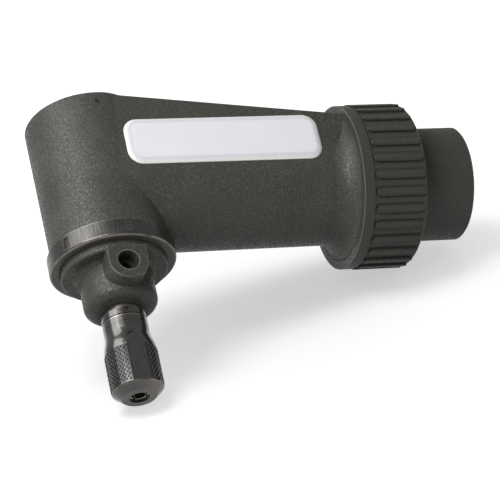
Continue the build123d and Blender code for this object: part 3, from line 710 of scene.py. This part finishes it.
class ATTACHMENT_OT_plate(Operator):
    """Adds the bare domed plate on the barrel's side."""

    bl_idname = "attachment.plate"
    bl_label = "Bare plate"

    def execute(self, context):
        s = context.scene.attachment_plate
        middle_x = SPINDLE_X + s.start + s.length / 2
        middle_z = s.low_edge + s.height / 2
        corner_steps = 10
        dome_rows = 12
        # The dome bends over this share of the corner's radius, from a rim of this share of it
        bend, rim = 0.53, 0.2
        # Inset from the plate's edge, and share of the dome's height reached there
        rows = [(0.0, 0.0), (0.0, rim)]
        for number in range(1, dome_rows + 1):
            share = number / dome_rows
            swell = 1 - (1 - share) ** 3
            rows.append((s.corner * bend * share, rim + (1 - rim) * swell))
        shape = bmesh.new()
        rings = []
        for inset, share in rows:
            ring = []
            for u, v in rounded_outline(
                s.length - 2 * inset, s.height - 2 * inset, s.corner - inset, corner_steps
            ):
                x = middle_x + u
                ring.append(shape.verts.new((x, barrel_side(x) - s.dome * share, middle_z + v)))
            rings.append(ring)
        wall = bridged(shape, rings)[0]
        shape.faces.new(rings[-1])
        back = shape.faces.new(list(reversed(rings[0])))
        for face in (*wall, back):
            face.material_index = 1
        mesh = finished_mesh("side_plate", shape, 50)
        finishes = context.scene.attachment_finish
        resin = plate_resin(finishes, (middle_x, middle_z), (s.length, s.height), s.corner)
        mesh.materials.append(resin)
        mesh.materials.append(plate_edge(finishes))
        piece_from("side_plate", mesh, "housing")
        return {"FINISHED"}


def knurl_tree():
    """Node group that sets diamonds on a round nut, in staggered rows, clear of its flats."""
    group = bpy.data.node_groups.new("diamond_knurl", "GeometryNodeTree")
    sockets = group.interface
    sockets.new_socket("Geometry", in_out="OUTPUT", socket_type="NodeSocketGeometry")
    for name, kind in (
        ("Rows", "Int"),
        ("Columns", "Int"),
        ("Middle X", "Float"),
        ("Base Radius", "Float"),
        ("Height", "Float"),
        ("Top", "Float"),
        ("Row Step", "Float"),
        ("Half Flats", "Float"),
        ("Finish", "Material"),
    ):
        sockets.new_socket(name, in_out="INPUT", socket_type="NodeSocket" + kind)
    entry = group.nodes.new("NodeGroupInput")
    given = {socket.name: Wire(group, socket) for socket in entry.outputs if socket.name}
    t = Tree(group)
    index = t.add("GeometryNodeInputIndex")
    row = (index / given["Columns"]).math("FLOOR")
    column = index % given["Columns"]
    angle = (column + (row % 2.0) * 0.5) / given["Columns"] * (2 * math.pi)
    out_x = angle.math("COSINE")
    out_y = angle.math("SINE")
    spot = t.joined(
        given["Middle X"] + out_x * given["Base Radius"],
        out_y * given["Base Radius"],
        given["Top"] - (row + 0.5) * given["Row Step"],
    )
    line = t.add("GeometryNodeMeshLine", {"Count": given["Rows"] * given["Columns"]})
    points = t.add("GeometryNodeMeshToPoints", {"Mesh": line})
    points = t.add("GeometryNodeSetPosition", {"Geometry": points, "Position": spot})
    over = (abs(out_y) * (given["Base Radius"] + given["Height"])).math(
        "GREATER_THAN", given["Half Flats"]
    )
    turned = t.add(
        "GeometryNodeStoreNamedAttribute", {"Geometry": points, "Name": "turn", "Value": angle}
    )
    kept = t.add("GeometryNodeDeleteGeometry", {"Geometry": turned, "Selection": over})
    turn = t.add("GeometryNodeInputNamedAttribute", {"Name": "turn"})
    half_wide = math.pi * given["Base Radius"] / given["Columns"]
    cone = t.add(
        "GeometryNodeMeshCone",
        {"Vertices": 4, "Radius Top": 0.0, "Radius Bottom": 1.0, "Depth": 1.0},
    )
    diamonds = t.add(
        "GeometryNodeInstanceOnPoints",
        {
            "Points": kept,
            "Instance": cone,
            "Rotation": t.joined(0.0, math.pi / 2, turn),
            "Scale": t.joined(given["Row Step"], half_wide, given["Height"]),
        },
    )
    solid = t.add("GeometryNodeRealizeInstances", {"Geometry": diamonds})
    painted = t.add(
        "GeometryNodeSetMaterial", {"Geometry": solid, "Material": given["Finish"]}
    )
    leave = group.nodes.new("NodeGroupOutput")
    painted.plug(leave.inputs[0])
    return group


def grown_mesh(name, group, values):
    """The plain mesh that a node group makes from these values, named by its inputs."""
    seed = bpy.data.objects.new(name, bpy.data.meshes.new(name))
    bpy.context.scene.collection.objects.link(seed)
    modifier = seed.modifiers.new(name, "NODES")
    modifier.node_group = group
    for item in group.interface.items_tree:
        if item.in_out == "INPUT":
            modifier[item.identifier] = values[item.name]
    depsgraph = bpy.context.evaluated_depsgraph_get()
    mesh = bpy.data.meshes.new_from_object(seed.evaluated_get(depsgraph))
    seed.modifiers.clear()
    bpy.data.objects.remove(seed)
    return mesh


class ATTACHMENT_OT_knurl(Operator):
    """Adds the diamond knurl on the collet nut."""

    bl_idname = "attachment.knurl"
    bl_label = "Nut knurl"

    def execute(self, context):
        s = context.scene.attachment_knurl
        # The rows of diamonds lie closer than the diamonds of one row
        row_step = s.pitch * 0.66
        values = {
            "Rows": int(s.length / row_step),
            "Columns": round(2 * math.pi * s.base / s.pitch),
            "Middle X": SPINDLE_X,
            "Base Radius": s.base,
            "Height": s.height,
            "Top": s.top,
            "Row Step": row_step,
            "Half Flats": s.flats / 2,
            "Finish": knurled_steel(context.scene.attachment_finish),
        }
        mesh = grown_mesh("nut_knurl", knurl_tree(), values)
        if not mesh.polygons:
            raise RuntimeError("the knurl's node group made no faces")
        piece_from("nut_knurl", mesh, "collet_nut")
        return {"FINISHED"}


class ATTACHMENT_OT_gate_mark(Operator):
    """Adds the gate mark on the head's side."""

    bl_idname = "attachment.gate_mark"
    bl_label = "Gate mark"

    def execute(self, context):
        # Its middle, from the spindle's axis and over the barrel's, and the head's radius there
        middle_u, middle_z = -0.0003, 0.0149
        head_radius = 0.01237
        sides = 28
        # Radius of each ring, and how far it stands off the head
        profile = [
            (0.00018, 0.00005),
            (0.00026, 0.00002),
            (0.0004, 0.00002),
            (0.00047, 0.00009),
            (0.00056, 0.00009),
            (0.00062, -0.0001),
        ]
        shape = bmesh.new()
        rings = []
        for radius, height in profile:
            ring = []
            for step in range(sides):
                angle = 2 * math.pi * step / sides
                u = middle_u + radius * math.cos(angle)
                y = -math.sqrt(head_radius**2 - u**2) - height
                z = middle_z + radius * math.sin(angle)
                ring.append(shape.verts.new((SPINDLE_X + u, y, z)))
            rings.append(ring)
        rows = bridged(shape, rings)
        # The groove's inner faces take the painted shade
        for face in (*rows[0], *rows[1]):
            face.material_index = 1
        shape.faces.new(rings[0])
        shape.faces.new(list(reversed(rings[-1])))
        mesh = finished_mesh("gate_mark", shape, 35)
        mesh.materials.append(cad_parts["housing"].data.materials[0])
        mesh.materials.append(painted_pit_shade())
        piece_from("gate_mark", mesh, "housing")
        return {"FINISHED"}


def bearing(place):
    """The solids of a ball bearing."""
    return [f"{place}_bearing_{kind}" for kind in ("inner_race", "outer_race", "balls")]


class ATTACHMENT_OT_finishes(Operator):
    """Gives every solid its material."""

    bl_idname = "attachment.finishes"
    bl_label = "Finishes"

    def execute(self, context):
        s = context.scene.attachment_finish
        on_spindle = ground_steel("ground_spindle", *GROUND, round_barrel=False)
        on_barrel = ground_steel("ground_shaft", *GROUND, round_barrel=True)
        spring = ground_steel("spring_steel", *SPRING, round_barrel=True)
        tube = ground_steel("drawn_tube", *DRAWN, round_barrel=True)
        for material, names in (
            (body_plastic(s), ["housing"]),
            (ring_plastic(s), ["coupling_ring"]),
            (sleeve_plastic(s), ["tool_socket"]),
            (cap_plastic(s), ["bearing_cap"]),
            (blackened_band(s), ["retaining_band"]),
            (blackened_nut(s), ["collet_nut"]),
            (seal_rubber(), ["neck_seal"]),
            (swivel_plastic(), ["swivel_ring"]),
            (collet_steel(), ["collet"]),
            (on_spindle, ["spindle", "gear_pin", "needle_cup", "needle_rollers"]),
            (on_spindle, bearing("lower")),
            (on_barrel, ["drive_shaft", "pinion_pin"]),
            (on_barrel, bearing("front") + bearing("rear")),
            (spring, ["bore_circlip", "shaft_circlip", "slip_washer"]),
            (spring, ["gear_shim", "pinion_shim"]),
            (gear_steel(), ["bevel_pinion", "bevel_gear"]),
            (tube, ["bearing_spacer"]),
        ):
            for name in names:
                finish_node(name, material)
        return {"FINISHED"}


# Axes of the photograph's camera: right, up and into the picture
CAMERA_RIGHT = Vector((0.95010007, -0.24256396, -0.19614428))
CAMERA_UP = Vector((0.0420069, -0.52356536, 0.85094931))
CAMERA_VIEW = Vector((0.30910399, 0.81672642, 0.48725013))
CAMERA_PLACE = Vector((-0.22022, -0.45622, -0.28613))
CAMERA_LENS = 200.0
SENSOR_WIDTH = 36.0
PART_MIDDLE = Vector((-0.042, 0.0, -0.008))
# Each lamp's name, its direction from the part (right, up and towards the camera), its size in
# metres and the setting of its strength
LAMPS = (
    ("key_light", (-0.5, 0.45, 0.74), 0.28, "key"),
    ("side_light", (-0.78, 0.57, 0.26), 0.32, "side"),
    ("top_light", (-0.52, 0.845, 0.325), 0.26, "top"),
)
# The floor's lamp leaves the part alone, and the part's lamps leave the floor alone
LAMP_GROUPS = (
    ("lit_floor", "INCLUDE", ("top_light",)),
    ("unlit_floor", "EXCLUDE", ("key_light", "side_light")),
)
# How bright metal mirrors the sky
MIRRORED_SKY = 0.4
# The solids that touch the floor, which way it faces, how far it reaches and the gap over it
FLOOR_TOUCHES = ("collet_nut", "coupling_ring", "tool_socket")
FLOOR_NORMAL = Vector((-0.2633, -0.7093, 0.6539)).normalized()
FLOOR_REACH = 1.2
FLOOR_GAP = 0.00002
FLOOR_COLOUR = (0.8, 0.8, 0.8, 1)
# The floor's glow for the camera: under the part, and what is added over this step of distance
# from its middle, because the lamps fade there. Then its glow for all other rays.
GLOW_NEAR = 0.48
GLOW_ADDED = 0.25
GLOW_STEP = (0.06, 0.08)
GLOW_OTHERS = 0.36


class ATTACHMENT_OT_stage(Operator):
    """Adds the camera, the lamps, the white surroundings and the floor that the part rests on."""

    bl_idname = "attachment.stage"
    bl_label = "Studio"

    def execute(self, context):
        s = context.scene.attachment_studio
        scene = context.scene
        self.add_camera(scene)
        floor = self.add_floor(scene)
        self.add_sky(scene, s.sky)
        lamps = {
            name: self.add_lamp(scene, name, toward, s.distance, size, getattr(s, strength))
            for name, toward, size, strength in LAMPS
        }
        for title, state, names in LAMP_GROUPS:
            group = bpy.data.collections.new(title)
            group.objects.link(floor)
            group.collection_objects[0].light_linking.link_state = state
            for name in names:
                lamps[name].light_linking.receiver_collection = group
        scene.view_settings.view_transform = "Standard"
        return {"FINISHED"}

    def add_camera(self, scene):
        lens = bpy.data.cameras.new("photo_camera")
        lens.lens = CAMERA_LENS
        lens.sensor_width = SENSOR_WIDTH
        lens.clip_start = 0.01
        lens.clip_end = 10.0
        camera = bpy.data.objects.new("photo_camera", lens)
        turn = Matrix((CAMERA_RIGHT, CAMERA_UP, -CAMERA_VIEW)).transposed()
        camera.matrix_world = Matrix.Translation(CAMERA_PLACE) @ turn.to_4x4()
        scene.collection.objects.link(camera)
        scene.camera = camera

    def add_lamp(self, scene, name, toward, away, size, strength):
        right, up, near = toward
        direction = right * CAMERA_RIGHT + up * CAMERA_UP - near * CAMERA_VIEW
        lamp = bpy.data.lights.new(name, "AREA")
        lamp.shape = "SQUARE"
        lamp.size = size
        # A white surface that faces the lamp returns the lamp's strength
        lamp.energy = strength * math.pi**2 * away**2
        holder = bpy.data.objects.new(name, lamp)
        holder.location = PART_MIDDLE + direction.normalized() * away
        holder.rotation_euler = direction.to_track_quat("Z", "Y").to_euler()
        scene.collection.objects.link(holder)
        return holder

    def add_sky(self, scene, strength):
        """White to the camera and through the part, dimmer in metal and as light."""
        world = bpy.data.worlds.new("white_surroundings")
        world.use_nodes = True
        scene.world = world
        t = Tree(world.node_tree)
        seen, mirrored, through = (
            t.add("ShaderNodeLightPath", out=name)
            for name in ("Is Camera Ray", "Is Glossy Ray", "Is Transmission Ray")
        )
        seen = seen + through
        others = 1 - (seen + mirrored).at_most(1.0)
        power = seen + mirrored * MIRRORED_SKY + others * strength
        backdrop = world.node_tree.nodes["Background"]
        backdrop.inputs["Color"].default_value = (1, 1, 1, 1)
        power.at_most(1.0).plug(backdrop.inputs["Strength"])

    def add_floor(self, scene):
        """A white floor that keeps the part's shadow and can't be seen from below."""
        low = min(
            FLOOR_NORMAL.dot(vertex.co)
            for name in FLOOR_TOUCHES
            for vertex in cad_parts[name].data.vertices
        )
        side = FLOOR_NORMAL.cross(Vector((0, 0, 1))).normalized()
        along = side.cross(FLOOR_NORMAL)
        middle = FLOOR_NORMAL * (low - FLOOR_GAP)
        corners = [
            tuple(middle + side * a * FLOOR_REACH + along * b * FLOOR_REACH)
            for a, b in ((1, 1), (-1, 1), (-1, -1), (1, -1))
        ]
        mesh = bpy.data.meshes.new("floor")
        mesh.from_pydata(corners, [], [(0, 1, 2, 3)])
        if mesh.polygons[0].normal.dot(FLOOR_NORMAL) < 0:
            mesh.flip_normals()
        mesh.materials.append(self.floor_material())
        floor = bpy.data.objects.new("floor", mesh)
        scene.collection.objects.link(floor)
        return floor

    def floor_material(self):
        material = bpy.data.materials.new("white_floor")
        material.use_nodes = True
        material.node_tree.nodes.clear()
        t = Tree(material.node_tree)
        paint = t.add("ShaderNodeBsdfDiffuse", {"Color": FLOOR_COLOUR})
        seen = t.add("ShaderNodeLightPath", out="Is Camera Ray")
        place = t.add("ShaderNodeTexCoord", out="Object")
        away = t.add(
            "ShaderNodeVectorMath",
            {0: place, 1: tuple(PART_MIDDLE)},
            out=1,
            operation="DISTANCE",
        )
        glow_seen = away.above(*GLOW_STEP) * GLOW_ADDED + GLOW_NEAR
        power = seen * glow_seen + (1 - seen) * GLOW_OTHERS
        glow = t.add("ShaderNodeEmission", {"Color": (1, 1, 1, 1), "Strength": power})
        lit = t.add("ShaderNodeAddShader", {0: paint, 1: glow})
        behind = t.add("ShaderNodeNewGeometry", out="Backfacing")
        clear = t.add("ShaderNodeBsdfTransparent")
        whole = t.add("ShaderNodeMixShader", {0: behind, 1: lit, 2: clear})
        out = t.tree.nodes.new("ShaderNodeOutputMaterial")
        whole.plug(out.inputs["Surface"])
        return material


class ATTACHMENT_PT_panel(Panel):
    """Lists the steps that build the pieces and the studio."""

    bl_label = "Right angle attachment"
    bl_idname = "ATTACHMENT_PT_panel"
    bl_space_type = "VIEW_3D"
    bl_region_type = "UI"
    bl_category = "Attachment"

    def draw(self, context):
        for step in STEPS:
            self.layout.operator(step.bl_idname)


STEPS = (
    ATTACHMENT_OT_stage,
    ATTACHMENT_OT_finishes,
    ATTACHMENT_OT_plate,
    ATTACHMENT_OT_knurl,
    ATTACHMENT_OT_gate_mark,
)
SETTINGS = {
    "attachment_plate": PlateSettings,
    "attachment_knurl": KnurlSettings,
    "attachment_finish": FinishSettings,
    "attachment_studio": StudioSettings,
}


def register():
    for name, group in SETTINGS.items():
        bpy.utils.register_class(group)
        setattr(bpy.types.Scene, name, PointerProperty(type=group))
    for cls in (*STEPS, ATTACHMENT_PT_panel):
        bpy.utils.register_class(cls)


def unregister():
    for cls in (ATTACHMENT_PT_panel, *reversed(STEPS)):
        bpy.utils.unregister_class(cls)
    for name, group in SETTINGS.items():
        delattr(bpy.types.Scene, name)
        bpy.utils.unregister_class(group)


def main():
    register()
    for step in STEPS:
        piece, action = step.bl_idname.split(".")
        getattr(getattr(bpy.ops, piece), action)()


if __name__ == "__main__":
    main()
